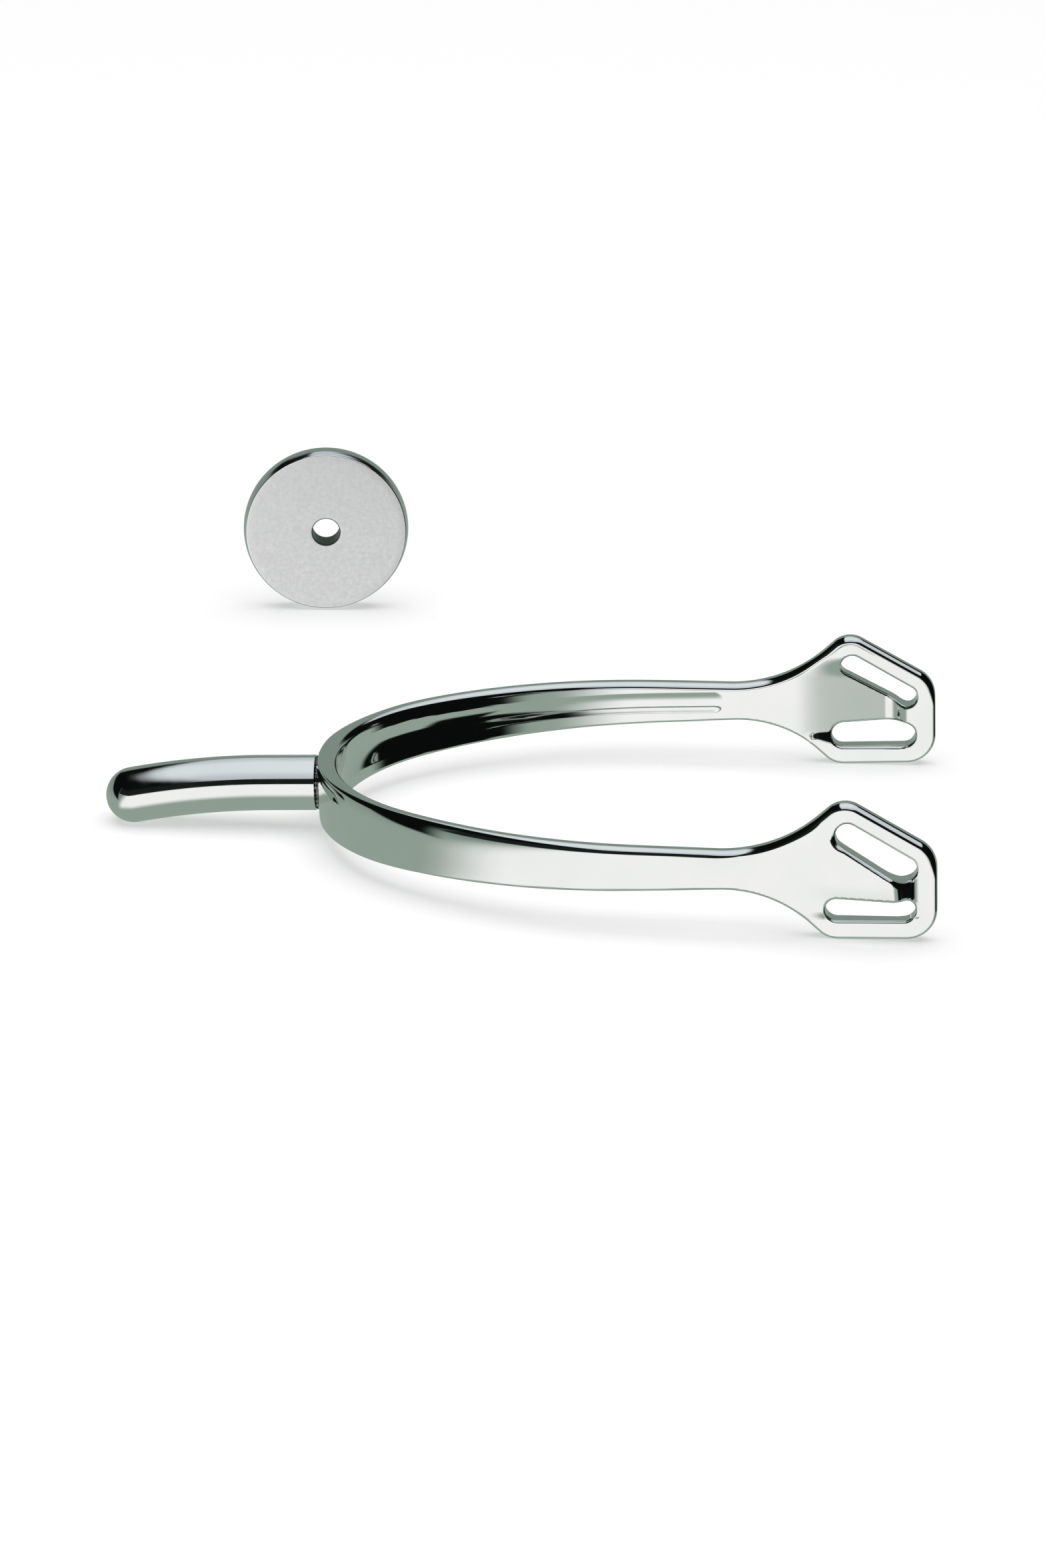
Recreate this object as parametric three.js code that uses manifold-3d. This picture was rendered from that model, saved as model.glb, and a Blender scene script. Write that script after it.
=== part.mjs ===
// A riding spur with a rounded neck that curves downwards, and the loose smooth rowel that comes with it.
// Millimetres. The spur is drawn level, +X from the heel to the strap plates, +Y to its left, +Z up,
// with the origin in the middle of the band's thickness at the back of the heel. It is then laid down
// on the points that it rests on: the tip of the neck and the lower edges of both plates.
import * as THREE from 'three';
import { mergeVertices } from 'three/addons/utils/BufferGeometryUtils.js';
import Module from 'manifold-3d';

const wasm = await Module();
wasm.setup();

const DEGREE = Math.PI / 180;
const GAP = 0.3;

// Heel band, in plan: two arcs a side, then straight branches that open slightly.
const BAND_THICKNESS = 3.2;
const HEEL_RADIUS = 33.2;
const HEEL_TURN = 54 * DEGREE;
const SIDE_RADIUS = 68.6;
const SIDE_TURN = 34.5 * DEGREE;
const ARC_STEPS = 9;

// Heel band, from the side: the height falls from the heel to the waist behind each plate.
const BACK_X = -8;
const BACK_TOP_Z = 6.3;
const BACK_BOTTOM_Z = -3.8;
const WAIST_X = 66.2;
const WAIST_TOP_Z = 4.33;
const WAIST_BOTTOM_Z = -2.05;

// Strap plate, from the side: hollow flares, a rounded peak, a sloping edge, a straight end and a level foot.
const TOP_FLARE_RADIUS = 23.3;
const TOP_FLARE_TURN = 41 * DEGREE;
const BOTTOM_FLARE_RADIUS = 20.2;
const BOTTOM_FLARE_TURN = 43.5 * DEGREE;
const SLOPE = 31 * DEGREE;
const SLOPE_AT_X = 90;
const SLOPE_AT_Z = 10.7;
const END_X = 100.4;
const FOOT_Z = -10.2;
const PEAK_RADIUS = 4.1;
const FOOT_RADIUS = 4.2;
const END_RADIUS = 5;
const CORNER_STEPS = 5;

// Strap slots: a level one above the foot, and one along the sloping edge.
const LOWER_SLOT = { x0: 84.55, z0: -5.15, x1: 94.95, z1: -5.15, width: 3.9 };
const UPPER_SLOT = { x0: 86.15, z0: 7.32, x1: 95.25, z1: 1.75, width: 3.75 };

// The web between the slots leans out of the plate, so that a strap passes behind it and lies flat.
const WEB_START_X = 76;
const WEB_FULL_X = 92.4;
const WEB_RAMP_X = 93.6;
const WEB_END_X = 96.8;
const WEB_LIFT = 2.45;

// Fuller: the shallow groove along the inside of each branch.
const FULLER_START = 14;
const FULLER_END = 84.8;
const FULLER_BOTTOM_Z = -0.7;
const FULLER_TOP_Z = 3.2;
const FULLER_DEPTH = 0.35;

// Neck: straight at the root, then one long arc down to a domed tip. It is brazed on a tenon.
const NECK_RADIUS = 4.6;
const NECK_Z = 1.2;
const NECK_ROOT_X = -2.35;
const NECK_BEND_X = -10;
const NECK_BEND_RADIUS = 127;
const NECK_TIP_CENTRE_X = -32.56;
const NECK_SIDES = 32;
const NECK_STEPS = 14;
const ROOT_CHAMFER = 0.25;
const TENON_RADIUS = 2.2;
const TENON_END_X = 0;

// Boss on the back of the band, faired into it, with a blind bore for the tenon.
const BOSS_FACE_X = -1.65;
const BOSS_FLARE = 4.5;
const BOSS_FLARE_END_X = -0.4;

// Braze: a thin ring of filler set back in the joint between the neck and the boss.
const BRAZE_RADIUS = 4.3;
const BRAZE_THICKNESS = 0.3;

// Smooth rowel: a plain disc with a bore, standing on its rim behind the spur.
const ROWEL_RADIUS = 15.05;
const ROWEL_THICKNESS = 5;
const ROWEL_BORE_RADIUS = 2.5;
const ROWEL_EDGE = 0.5;
const ROWEL_BORE_EDGE = 0.2;
const ROWEL_SIDES = 64;
const ROWEL_PLACE_X = -11;
const ROWEL_PLACE_Y = 115;
const ROWEL_YAW = 5.1 * DEGREE;

const polishedSteel = new THREE.MeshStandardMaterial({ color: '#c3c9c5', roughness: 0.06, metalness: 1 });
const brazeMetal = new THREE.MeshStandardMaterial({ color: '#b9b7a6', roughness: 0.3, metalness: 1 });
const satinSteel = new THREE.MeshStandardMaterial({ color: '#cfcfcf', roughness: 0.42, metalness: 1 });

// A closed geometry as a solid that can be joined and cut.
function solid(geometry) {
  const bare = geometry.clone();
  bare.deleteAttribute('normal');
  bare.deleteAttribute('uv');
  const merged = mergeVertices(bare, 1e-4);
  return new wasm.Manifold(new wasm.Mesh({
    numProp: 3,
    vertProperties: new Float32Array(merged.attributes.position.array),
    triVerts: new Uint32Array(merged.index.array),
  }));
}

// A solid as a geometry again.
function geometryOf(body) {
  const mesh = body.getMesh();
  const geometry = new THREE.BufferGeometry();
  geometry.setAttribute('position', new THREE.BufferAttribute(new Float32Array(mesh.vertProperties), 3));
  geometry.setIndex(new THREE.BufferAttribute(new Uint32Array(mesh.triVerts), 1));
  geometry.computeVertexNormals();
  return geometry;
}

function node(name, geometry, material) {
  const mesh = new THREE.Mesh(geometry, material);
  mesh.name = name;
  return mesh;
}

// A shape drawn in plan, as a solid from z0 up to z1.
function upright(shape, z0, z1) {
  const geometry = new THREE.ExtrudeGeometry(shape, { depth: z1 - z0, bevelEnabled: false, curveSegments: 8 });
  geometry.translate(0, 0, z0);
  return solid(geometry);
}

// A shape drawn from the side in X and Z, as a solid that spans the whole width in Y.
function across(shape) {
  const reach = 60;
  const geometry = new THREE.ExtrudeGeometry(shape, { depth: 2 * reach, bevelEnabled: false, curveSegments: 8 });
  geometry.rotateX(Math.PI / 2);
  geometry.translate(0, reach, 0);
  return solid(geometry);
}

// A profile of [x, radius] points turned about the X axis at the height of the neck.
function turned(profile, sides) {
  const points = profile.map(([x, radius]) => new THREE.Vector2(radius, x));
  const geometry = new THREE.LatheGeometry(points, sides);
  geometry.rotateZ(-Math.PI / 2);
  geometry.translate(0, 0, NECK_Z);
  return solid(geometry);
}

// Smooth step from 0 at a to 1 at b.
function ease(x, a, b) {
  return THREE.MathUtils.smoothstep((x - a) / (b - a), 0, 1);
}

const HEEL_LENGTH = HEEL_RADIUS * HEEL_TURN;
const SIDE_LENGTH = SIDE_RADIUS * SIDE_TURN;
const STRAIGHT_ANGLE = Math.PI / 2 - HEEL_TURN - SIDE_TURN;
const STRAIGHT_START = HEEL_LENGTH + SIDE_LENGTH;

// Middle of the band's thickness on the left branch, at a length along it from the heel.
function branchPoint(length) {
  if (length <= HEEL_LENGTH) {
    const turn = length / HEEL_RADIUS;
    const x = HEEL_RADIUS * (1 - Math.cos(turn));
    return { x, y: HEEL_RADIUS * Math.sin(turn), heading: Math.PI / 2 - turn };
  }
  const first = branchPoint(HEEL_LENGTH);
  if (length <= STRAIGHT_START) {
    const heading = first.heading - (length - HEEL_LENGTH) / SIDE_RADIUS;
    const x = first.x + SIDE_RADIUS * (Math.sin(first.heading) - Math.sin(heading));
    const y = first.y + SIDE_RADIUS * (Math.cos(heading) - Math.cos(first.heading));
    return { x, y, heading };
  }
  const second = branchPoint(STRAIGHT_START);
  const run = length - STRAIGHT_START;
  const x = second.x + run * Math.cos(STRAIGHT_ANGLE);
  return { x, y: second.y + run * Math.sin(STRAIGHT_ANGLE), heading: STRAIGHT_ANGLE };
}

// The same point moved out of the branch by an offset along its normal.
function offsetPoint(length, offset) {
  const { x, y, heading } = branchPoint(length);
  return new THREE.Vector2(x - offset * Math.sin(heading), y + offset * Math.cos(heading));
}

// How far the web leans out at a place along X.
function webLift(x) {
  return WEB_LIFT * ease(x, WEB_START_X, WEB_FULL_X) * (1 - ease(x, WEB_RAMP_X, WEB_END_X));
}

function spread(from, to, steps) {
  return Array.from({ length: steps + 1 }, (unused, i) => from + (to - from) * i / steps);
}

// Strip of the left branch in plan, between two offsets from its middle.
function strip(lengths, inner, outer, lift = () => 0) {
  const side = (offset) => lengths.map((s) => offsetPoint(s, offset + lift(branchPoint(s).x)));
  return new THREE.Shape([...side(inner), ...side(outer).reverse()]);
}

function mirrored(body) {
  return body.mirror([0, 1, 0]);
}

const PLATE_END = STRAIGHT_START + (END_X + 3 - branchPoint(STRAIGHT_START).x) / Math.cos(STRAIGHT_ANGLE);
const ARC_LENGTHS = [
  ...spread(0, HEEL_LENGTH, ARC_STEPS),
  ...spread(HEEL_LENGTH, STRAIGHT_START, ARC_STEPS).slice(1),
];

// Rounds each corner of a polygon with its own radius. A radius of 0 keeps the corner sharp.
function roundedShape(corners) {
  const shape = new THREE.Shape();
  corners.forEach(([x, z, radius], i) => {
    const here = new THREE.Vector2(x, z);
    const before = new THREE.Vector2(...corners.at(i - 1)).sub(here).normalize();
    const after = new THREE.Vector2(...corners[(i + 1) % corners.length]).sub(here).normalize();
    const half = Math.acos(THREE.MathUtils.clamp(before.dot(after), -1, 1)) / 2;
    const draw = i === 0 ? 'moveTo' : 'lineTo';
    if (!radius) {
      shape[draw](x, z);
      return;
    }
    const centre = before.clone().add(after).normalize().multiplyScalar(radius / Math.sin(half)).add(here);
    const reach = radius / Math.tan(half);
    const start = before.clone().multiplyScalar(reach).add(here).sub(centre).angle();
    const end = after.clone().multiplyScalar(reach).add(here).sub(centre).angle();
    const turn = THREE.MathUtils.euclideanModulo(end - start + Math.PI, 2 * Math.PI) - Math.PI;
    spread(start, start + turn, CORNER_STEPS).forEach((angle, k) => {
      const px = centre.x + radius * Math.cos(angle);
      const pz = centre.y + radius * Math.sin(angle);
      shape[i === 0 && k === 0 ? 'moveTo' : 'lineTo'](px, pz);
    });
  });
  return shape;
}

// Points of a flare that leaves the branch level at the waist and turns up or down.
function flare(waistZ, radius, turn, sign) {
  return spread(0, turn, 8).map((angle) => [
    WAIST_X + radius * Math.sin(angle),
    waistZ + sign * radius * (1 - Math.cos(angle)),
    0,
  ]);
}

// Where a line from a point at an angle meets a given height.
function meetHeight([x, z], angle, height) {
  return x + (height - z) / Math.tan(angle);
}

// Whole side outline: branch, flares and strap plate.
function sideOutline() {
  const top = flare(WAIST_TOP_Z, TOP_FLARE_RADIUS, TOP_FLARE_TURN, 1);
  const bottom = flare(WAIST_BOTTOM_Z, BOTTOM_FLARE_RADIUS, BOTTOM_FLARE_TURN, -1);
  const [topX, topZ] = top.at(-1);
  const rise = Math.tan(TOP_FLARE_TURN);
  const fall = Math.tan(SLOPE);
  const peakX = (SLOPE_AT_Z + fall * SLOPE_AT_X - topZ + rise * topX) / (rise + fall);
  const peakZ = topZ + rise * (peakX - topX);
  const endZ = SLOPE_AT_Z - fall * (END_X - SLOPE_AT_X);
  const heelX = meetHeight(bottom.at(-1), -BOTTOM_FLARE_TURN, FOOT_Z);
  return roundedShape([
    [BACK_X, BACK_BOTTOM_Z, 0],
    ...bottom,
    [heelX, FOOT_Z, FOOT_RADIUS],
    [END_X, FOOT_Z, END_RADIUS],
    [END_X, endZ, END_RADIUS],
    [peakX, peakZ, PEAK_RADIUS],
    ...top.reverse(),
    [20, 5.95, 0],
    [BACK_X, BACK_TOP_Z, 0],
  ]);
}

// A slot with round ends, between the centres of its two ends.
function slotShape({ x0, z0, x1, z1, width }) {
  const angle = Math.atan2(z1 - z0, x1 - x0);
  const shape = new THREE.Shape();
  shape.absarc(x0, z0, width / 2, angle + Math.PI / 2, angle + 1.5 * Math.PI, false);
  shape.absarc(x1, z1, width / 2, angle - Math.PI / 2, angle + Math.PI / 2, false);
  return shape;
}

// The part of the plate that leans out: between the two slots, and back to where the lean starts.
function webRegion(grow) {
  return new THREE.Shape([
    new THREE.Vector2(WEB_START_X, -1.5 - grow),
    new THREE.Vector2(LOWER_SLOT.x0, LOWER_SLOT.z0 - grow),
    new THREE.Vector2(LOWER_SLOT.x1, LOWER_SLOT.z1 - grow),
    new THREE.Vector2(WEB_END_X, -4 - grow),
    new THREE.Vector2(WEB_END_X, 0.5 + grow),
    new THREE.Vector2(UPPER_SLOT.x1, UPPER_SLOT.z1 + grow),
    new THREE.Vector2(UPPER_SLOT.x0, UPPER_SLOT.z0 + grow),
    new THREE.Vector2(WEB_START_X, 4 + grow),
  ]);
}

// The left half of the band with its strap plate.
function leftBranch() {
  const half = BAND_THICKNESS / 2;
  const lengths = [...ARC_LENGTHS, PLATE_END];
  const webLengths = [
    ...ARC_LENGTHS.slice(-1),
    ...spread(WEB_START_X, WEB_FULL_X, 6),
    ...spread(WEB_RAMP_X, WEB_END_X, 4),
    END_X + 3,
  ].map((value, i) => (i === 0 ? value : STRAIGHT_START
    + (value - branchPoint(STRAIGHT_START).x) / Math.cos(STRAIGHT_ANGLE)));
  const outline = across(sideOutline());
  const slots = across(slotShape(LOWER_SLOT)).add(across(slotShape(UPPER_SLOT)));
  const flat = upright(strip(lengths, -half, half), -20, 20).subtract(across(webRegion(0)));
  const web = upright(strip(webLengths, -half, half, webLift), -20, 20).intersect(across(webRegion(0.02)));
  const fuller = upright(
    strip([...ARC_LENGTHS.filter((s) => s > FULLER_START), FULLER_END], -half - 1, -half + FULLER_DEPTH),
    FULLER_BOTTOM_Z,
    FULLER_TOP_Z,
  );
  return flat.add(web).intersect(outline).subtract(slots).subtract(fuller);
}

// Boss: the end of a flared cone, no taller than the band.
function boss() {
  const cone = turned([
    [-0.3, 0],
    [-0.3, NECK_RADIUS + BOSS_FLARE],
    [BOSS_FLARE_END_X - 0.1, NECK_RADIUS + BOSS_FLARE],
    [BOSS_FLARE_END_X - 0.8, NECK_RADIUS + 0.42 * BOSS_FLARE],
    [BOSS_FLARE_END_X - 1.15, NECK_RADIUS + 0.12 * BOSS_FLARE],
    [BOSS_FACE_X, NECK_RADIUS],
    [BOSS_FACE_X, 0],
  ].reverse(), NECK_SIDES);
  return cone;
}

function heelBand() {
  const left = leftBranch();
  const bore = turned([
    [BOSS_FACE_X - 1, 0],
    [BOSS_FACE_X - 1, TENON_RADIUS + GAP],
    [TENON_END_X + GAP, TENON_RADIUS + GAP],
    [TENON_END_X + GAP, 0],
  ], NECK_SIDES);
  const root = boss().intersect(across(sideOutline()));
  return left.add(mirrored(left)).add(root).subtract(bore);
}

// Neck: turned root and tenon, swept bend and domed tip.
function neck() {
  const bendAngle = Math.asin((NECK_BEND_X - NECK_TIP_CENTRE_X) / NECK_BEND_RADIUS);
  const drop = NECK_BEND_RADIUS * (1 - Math.cos(bendAngle));
  const root = turned([
    [NECK_BEND_X - 0.5, 0],
    [NECK_BEND_X - 0.5, NECK_RADIUS],
    [NECK_ROOT_X - ROOT_CHAMFER, NECK_RADIUS],
    [NECK_ROOT_X, NECK_RADIUS - ROOT_CHAMFER],
    [NECK_ROOT_X, TENON_RADIUS],
    [TENON_END_X, TENON_RADIUS],
    [TENON_END_X, 0],
  ], NECK_SIDES);
  const bend = new THREE.CatmullRomCurve3(spread(0, bendAngle, NECK_STEPS).map((angle) => new THREE.Vector3(
    NECK_BEND_X - NECK_BEND_RADIUS * Math.sin(angle),
    0,
    NECK_Z - NECK_BEND_RADIUS * (1 - Math.cos(angle)),
  )));
  const section = new THREE.Shape(spread(0, 2 * Math.PI, NECK_SIDES).slice(0, -1).map(
    (angle) => new THREE.Vector2(NECK_RADIUS * Math.cos(angle), NECK_RADIUS * Math.sin(angle)),
  ));
  const sweep = solid(new THREE.ExtrudeGeometry(section, { steps: NECK_STEPS, extrudePath: bend }));
  const dome = new THREE.SphereGeometry(NECK_RADIUS, NECK_SIDES, 16);
  dome.rotateZ(Math.PI / 2);
  dome.rotateY(-bendAngle);
  dome.translate(NECK_TIP_CENTRE_X, 0, NECK_Z - drop);
  return root.add(sweep).add(solid(dome));
}

function brazeRing() {
  const middle = (NECK_ROOT_X + BOSS_FACE_X) / 2;
  return turned([
    [middle - BRAZE_THICKNESS / 2, TENON_RADIUS + GAP],
    [middle - BRAZE_THICKNESS / 2, BRAZE_RADIUS],
    [middle + BRAZE_THICKNESS / 2, BRAZE_RADIUS],
    [middle + BRAZE_THICKNESS / 2, TENON_RADIUS + GAP],
    [middle - BRAZE_THICKNESS / 2, TENON_RADIUS + GAP],
  ], NECK_SIDES);
}

// Disc turned about the Y axis, centred on its own middle.
function rowelDisc() {
  const half = ROWEL_THICKNESS / 2;
  const profile = [
    [ROWEL_BORE_RADIUS, -half + ROWEL_BORE_EDGE],
    [ROWEL_BORE_RADIUS + ROWEL_BORE_EDGE, -half],
    [ROWEL_RADIUS - ROWEL_EDGE, -half],
    [ROWEL_RADIUS, -half + ROWEL_EDGE],
    [ROWEL_RADIUS, half - ROWEL_EDGE],
    [ROWEL_RADIUS - ROWEL_EDGE, half],
    [ROWEL_BORE_RADIUS + ROWEL_BORE_EDGE, half],
    [ROWEL_BORE_RADIUS, half - ROWEL_BORE_EDGE],
    [ROWEL_BORE_RADIUS, -half + ROWEL_BORE_EDGE],
  ].map(([radius, y]) => new THREE.Vector2(radius, y));
  return geometryOf(solid(new THREE.LatheGeometry(profile, ROWEL_SIDES)));
}

// Spur, tipped about Y until its three supports are at one height.
const spur = new THREE.Group();
spur.add(node('heel_band', geometryOf(heelBand()), polishedSteel));
spur.add(node('neck', geometryOf(neck()), polishedSteel));
spur.add(node('braze_ring', geometryOf(brazeRing()), brazeMetal));

// The dome of the tip and the rounded back corner of each foot touch the table together.
const TIP_ANGLE = Math.asin((NECK_BEND_X - NECK_TIP_CENTRE_X) / NECK_BEND_RADIUS);
const TIP_Z = NECK_Z - NECK_BEND_RADIUS * (1 - Math.cos(TIP_ANGLE));
const FLARE_END = flare(WAIST_BOTTOM_Z, BOTTOM_FLARE_RADIUS, BOTTOM_FLARE_TURN, -1).at(-1);
const FOOT_X = meetHeight(FLARE_END, -BOTTOM_FLARE_TURN, FOOT_Z) + FOOT_RADIUS * Math.tan(BOTTOM_FLARE_TURN / 2);
const span = FOOT_X - NECK_TIP_CENTRE_X;
const fallOfCentres = FOOT_Z + FOOT_RADIUS - TIP_Z;
const reachOfCentres = Math.hypot(span, fallOfCentres);
const pitch = Math.asin((FOOT_RADIUS - NECK_RADIUS) / reachOfCentres) - Math.atan2(fallOfCentres, span);
spur.rotation.y = -pitch;

const rowel = node('rowel_disc', rowelDisc(), satinSteel);
rowel.rotation.z = ROWEL_YAW;

// The lowest point of the spur and the rim of the rowel stand on one plane.
spur.updateMatrixWorld(true);
const lowest = new THREE.Box3().setFromObject(spur, true).min.z;
rowel.position.set(ROWEL_PLACE_X, ROWEL_PLACE_Y, lowest + ROWEL_RADIUS);

// The origin is the middle of the footprint, on the surface that the part stands on.
const part = new THREE.Group();
part.add(spur, rowel);
part.updateMatrixWorld(true);
const box = new THREE.Box3().setFromObject(part, true);
part.position.set(-(box.min.x + box.max.x) / 2, -(box.min.y + box.max.y) / 2, -box.min.z);

export default part;
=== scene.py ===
import math

import bmesh
import bpy
import numpy as np
from mathutils import Matrix, Vector


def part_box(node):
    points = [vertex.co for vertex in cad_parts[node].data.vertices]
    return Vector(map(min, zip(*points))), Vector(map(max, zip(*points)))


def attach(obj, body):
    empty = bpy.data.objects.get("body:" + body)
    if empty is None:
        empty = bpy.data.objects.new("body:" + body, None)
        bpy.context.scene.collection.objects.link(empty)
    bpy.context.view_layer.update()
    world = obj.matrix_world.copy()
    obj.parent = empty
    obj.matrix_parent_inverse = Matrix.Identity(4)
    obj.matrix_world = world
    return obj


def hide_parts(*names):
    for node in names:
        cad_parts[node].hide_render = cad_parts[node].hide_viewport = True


# The looks of a polished riding spur and its loose smooth rowel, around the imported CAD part.
# Shapes are worked out in millimetres in the spur's own frame: +X from the heel to the strap plates,
# +Y to its left, +Z up, with the origin in the middle of the band's thickness at the back of the heel.
# The spur lies tipped by a small pitch, on the tip of its neck and the feet of its plates.
# Where a size or a place is a pair, it is what a soft change starts from and what it ends at.
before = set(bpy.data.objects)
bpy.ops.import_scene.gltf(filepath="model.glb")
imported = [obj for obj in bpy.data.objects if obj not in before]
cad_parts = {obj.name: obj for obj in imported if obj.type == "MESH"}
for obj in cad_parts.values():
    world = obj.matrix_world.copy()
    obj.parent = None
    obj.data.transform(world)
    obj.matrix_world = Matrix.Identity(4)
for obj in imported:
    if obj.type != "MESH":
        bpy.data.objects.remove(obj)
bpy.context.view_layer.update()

MM = 0.001
DEGREE = math.pi / 180

# Heel band, in plan: two arcs a side that run smoothly into each other, then straight branches.
THICKNESS = 3.2
HEEL_RADIUS = 33.2
HEEL_TURN = 54 * DEGREE
SIDE_RADIUS = 68.6
SIDE_TURN = 34.5 * DEGREE
HEEL_EASE = 5.0
SIDE_EASE = 6.0

# Heel band and strap plate, from the side. Each edge is a line through a point at an angle.
HEEL_TOP_Z = 6.25
WAIST_X = 66.2
WAIST_TOP_Z = 4.33
WAIST_BOTTOM_Z = -2.05
TOP_TAPER = 2.0 * DEGREE
BOTTOM_TAPER = 1.35 * DEGREE
TOP_FLARE_RADIUS = 23.3
TOP_FLARE_TURN = 41 * DEGREE
BOTTOM_FLARE_RADIUS = 20.2
BOTTOM_FLARE_TURN = 43.5 * DEGREE
SLOPE = 31 * DEGREE
SLOPE_AT_X = 90.0
SLOPE_AT_Z = 10.7
END_X = 100.3
FOOT_Z = -10.2
KNEE_RADIUS = 750.0
PEAK_RADIUS = 4.1
FOOT_RADIUS = 4.2
END_RADIUS = 5.0

# Cross-section: rounded edges, a fuller along the inside, and an outer face that rolls off towards its
# upper edge. The roll-off starts beside the heel, deepens along the side, and fades out into the plate.
PLATE_START_X = (64.0, 79.0)
ROLL_LEAST = 0.1
ROLL_REACH = 1.2
ROLL_SLOPE = (0.72, 0.98)
ROLL_POWER = (3.7, 4.1)
ROLL_SLIMS_X = (57.0, 70.0)
ROLL_SHALLOWER = 0.28
ROLL_DEEPENS = (24.0, 46.0)
ROLL_START = (6.0, 24.0)
HALF_HEIGHT = (5.0, 3.2)
OUTER_EDGE = (0.4, 0.58)
PLATE_OUTER_EDGE = 1.4
INNER_EDGE = 1.3
LOWER_EDGE = 0.55
LOWER_EDGE_Z = (0.0, 3.0)
SLOT_EDGE = 0.5
WEB_SLOT_EDGE = 0.22
WEB_SLOT_LIFT = (0.02, 0.5)
WEB_SLOT_Z = (-2.0, 0.0)
WEB_SLOT_CHAMFER = 0.4
WEB_SLOT_CHAMFER_SHIFT = 0.1
WEB_SLOT_CHAMFER_EDGE = 0.12
WEB_SLOT_CHAMFER_ANGLE = 25 * DEGREE
EDGE_POWER = 2.2
FULLER_Z = 1.25
FULLER_HALF = (2.75, 1.95)
FULLER_DEPTH = (0.5, 0.35)
FULLER_NARROWS = (14.0, 50.0)
FULLER_START = (3.0, 20.0)
FULLER_END = 84.8
FULLER_POWER = 1.3

# Strap slots, each between the centres of its two round ends.
LOWER_SLOT = ((84.55, -5.15), (94.95, -5.15), 3.9)
UPPER_SLOT = ((86.15, 7.32), (95.25, 1.75), 3.75)

# The web between the slots leans out of the plate, then steps back to the end bar. It blends softly into
# the rim around the slots, except at the inside, where it ends at a crisp fold beside the lower slot.
# For each face of the web: its rise for each millimetre, the x where it starts and the x of its step back.
WEB_OUTER = (0.175, 78.6, 96.6)
WEB_INNER = (0.163, 77.2, 95.4)
WEB_SOFTNESS = 1.3
WEB_RUN_IN = (-5.0, -1.0)
WEB_FOOT_CREASE = 0.38
WEB_TOP_CREASE = 1.3
WEB_BLEND = (-2.9, 1.9)
WEB_FOOT_BLEND = (-1.95, -0.1)
WEB_FOOT_DELAY = 2.4
WEB_DELAY_FADE = (-1.0, 6.0)
WEB_TAIL = 0.002
WEB_TOP_LEFT_Z = 7.6
FOLD_Z = -4.5
FOLD_SLOPE = 0.42
FOLD_DROP = 2.9
FOLD_CREASE = 0.16
FOLD_START = (77.6, 80.4)
FOLD_FOOT = 0.15

# Boss on the back of the heel, and the fairing that carries it into the band on both sides.
NECK_Z = 1.2
NECK_RADIUS = 4.6
BOSS_FACE_X = -1.53
BORE_RADIUS = 2.5
BORE_END_X = 0.3
FACE_CLEARANCE = 0.3
FACE_EDGE = 0.06
BOSS_FILLET = 0.12
WING_FILLET = 1.0
WING_END = 18.5
WING_END_EDGE = 0.15
WING_BEYOND = 3.0
WING_TOP_Z = (5.3, 3.7)
WING_TOP_CURVE = 1.3
WING_TIP_BOTTOM_Z = 3.25
WING_ROOT_BOTTOM_Z = -1.6
WING_ROOT = 5.0
WING_CURVE = 1.6
WING_PROUD = (0.2, 0.5)
WING_FADE = (0.78, 0.9)
WING_LIMIT_Z = 5.7
WING_DEPTH = 0.3
WING_SHOULDER_ANGLE = 28 * DEGREE
WING_UNDERSIDE = 1.0

# Neck, braze and rowel. The CAD ring's middle is the one point whose place is known in both frames.
# BRAZE_RIDGE lists (distance from the middle, rise, share of the beads).
# BRAZE_BEADS lists (height, count around the ring, phase).
CAD_BRAZE_X = -2.0
NECK_ROOT_X = -2.06
BRAZE_X = -1.8
NECK_BEND_X = -10.0
NECK_BEND_RADIUS = 127.0
NECK_TIP_CENTRE_X = -32.56
NECK_SIDES = 128
ROOT_CHAMFER = 0.08
ROOT_FACE_RADII = (3.2, 4.37)
TENON_RADIUS = 2.2
TENON_END_X = 0.0
TENON_CHAMFER = 0.3
CRISP = 0.02
BRAZE_SIDES = 360
BRAZE_RADIUS = 4.3
BRAZE_BORE_RADIUS = 2.5
BRAZE_RIDGE = ((0.13, -0.02, 0.2), (0.09, 0.06, 0.7), (0.04, 0.12, 1.0))
BRAZE_BEADS = ((0.05, 41, 0.0), (0.035, 67, 1.3), (0.02, 23, 0.4))
ROWEL_SIDES = 256
ROWEL_RADIUS = 15.05
ROWEL_THICKNESS = 5.0
ROWEL_BORE_RADIUS = 2.5
ROWEL_MOUTH = 0.15
ROWEL_EDGE = 0.22
ROWEL_CROWN = 0.38
ROWEL_FACE_RADII = (3.2, 5.0, 8.0, 11.0, 13.2)
ROWEL_BORE_OFFSETS = (-1.5, -0.5, 0.5, 1.5)
ROWEL_YAW = 5.1 * DEGREE

# How finely the band's surface is taken: runs of (end, pitch) along a branch and up, then (from, to,
# pitch) through the thickness. The boss, the upper edge and the plates get the closest lines.
GRID_ALONG = ((21.0, 0.22), (82.0, 0.7))
GRID_PLATE_PITCH = 0.26
GRID_UP = ((3.0, 0.26), (6.5, 0.16), (13.4, 0.26))
GRID_OUT = (-2.5, 5.2, 0.25)
GRID_MARGIN = 1.0
PULLS = 4
PULL_LIMIT = 0.25
PULL_LEAST_SLOPE = 0.05

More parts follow.
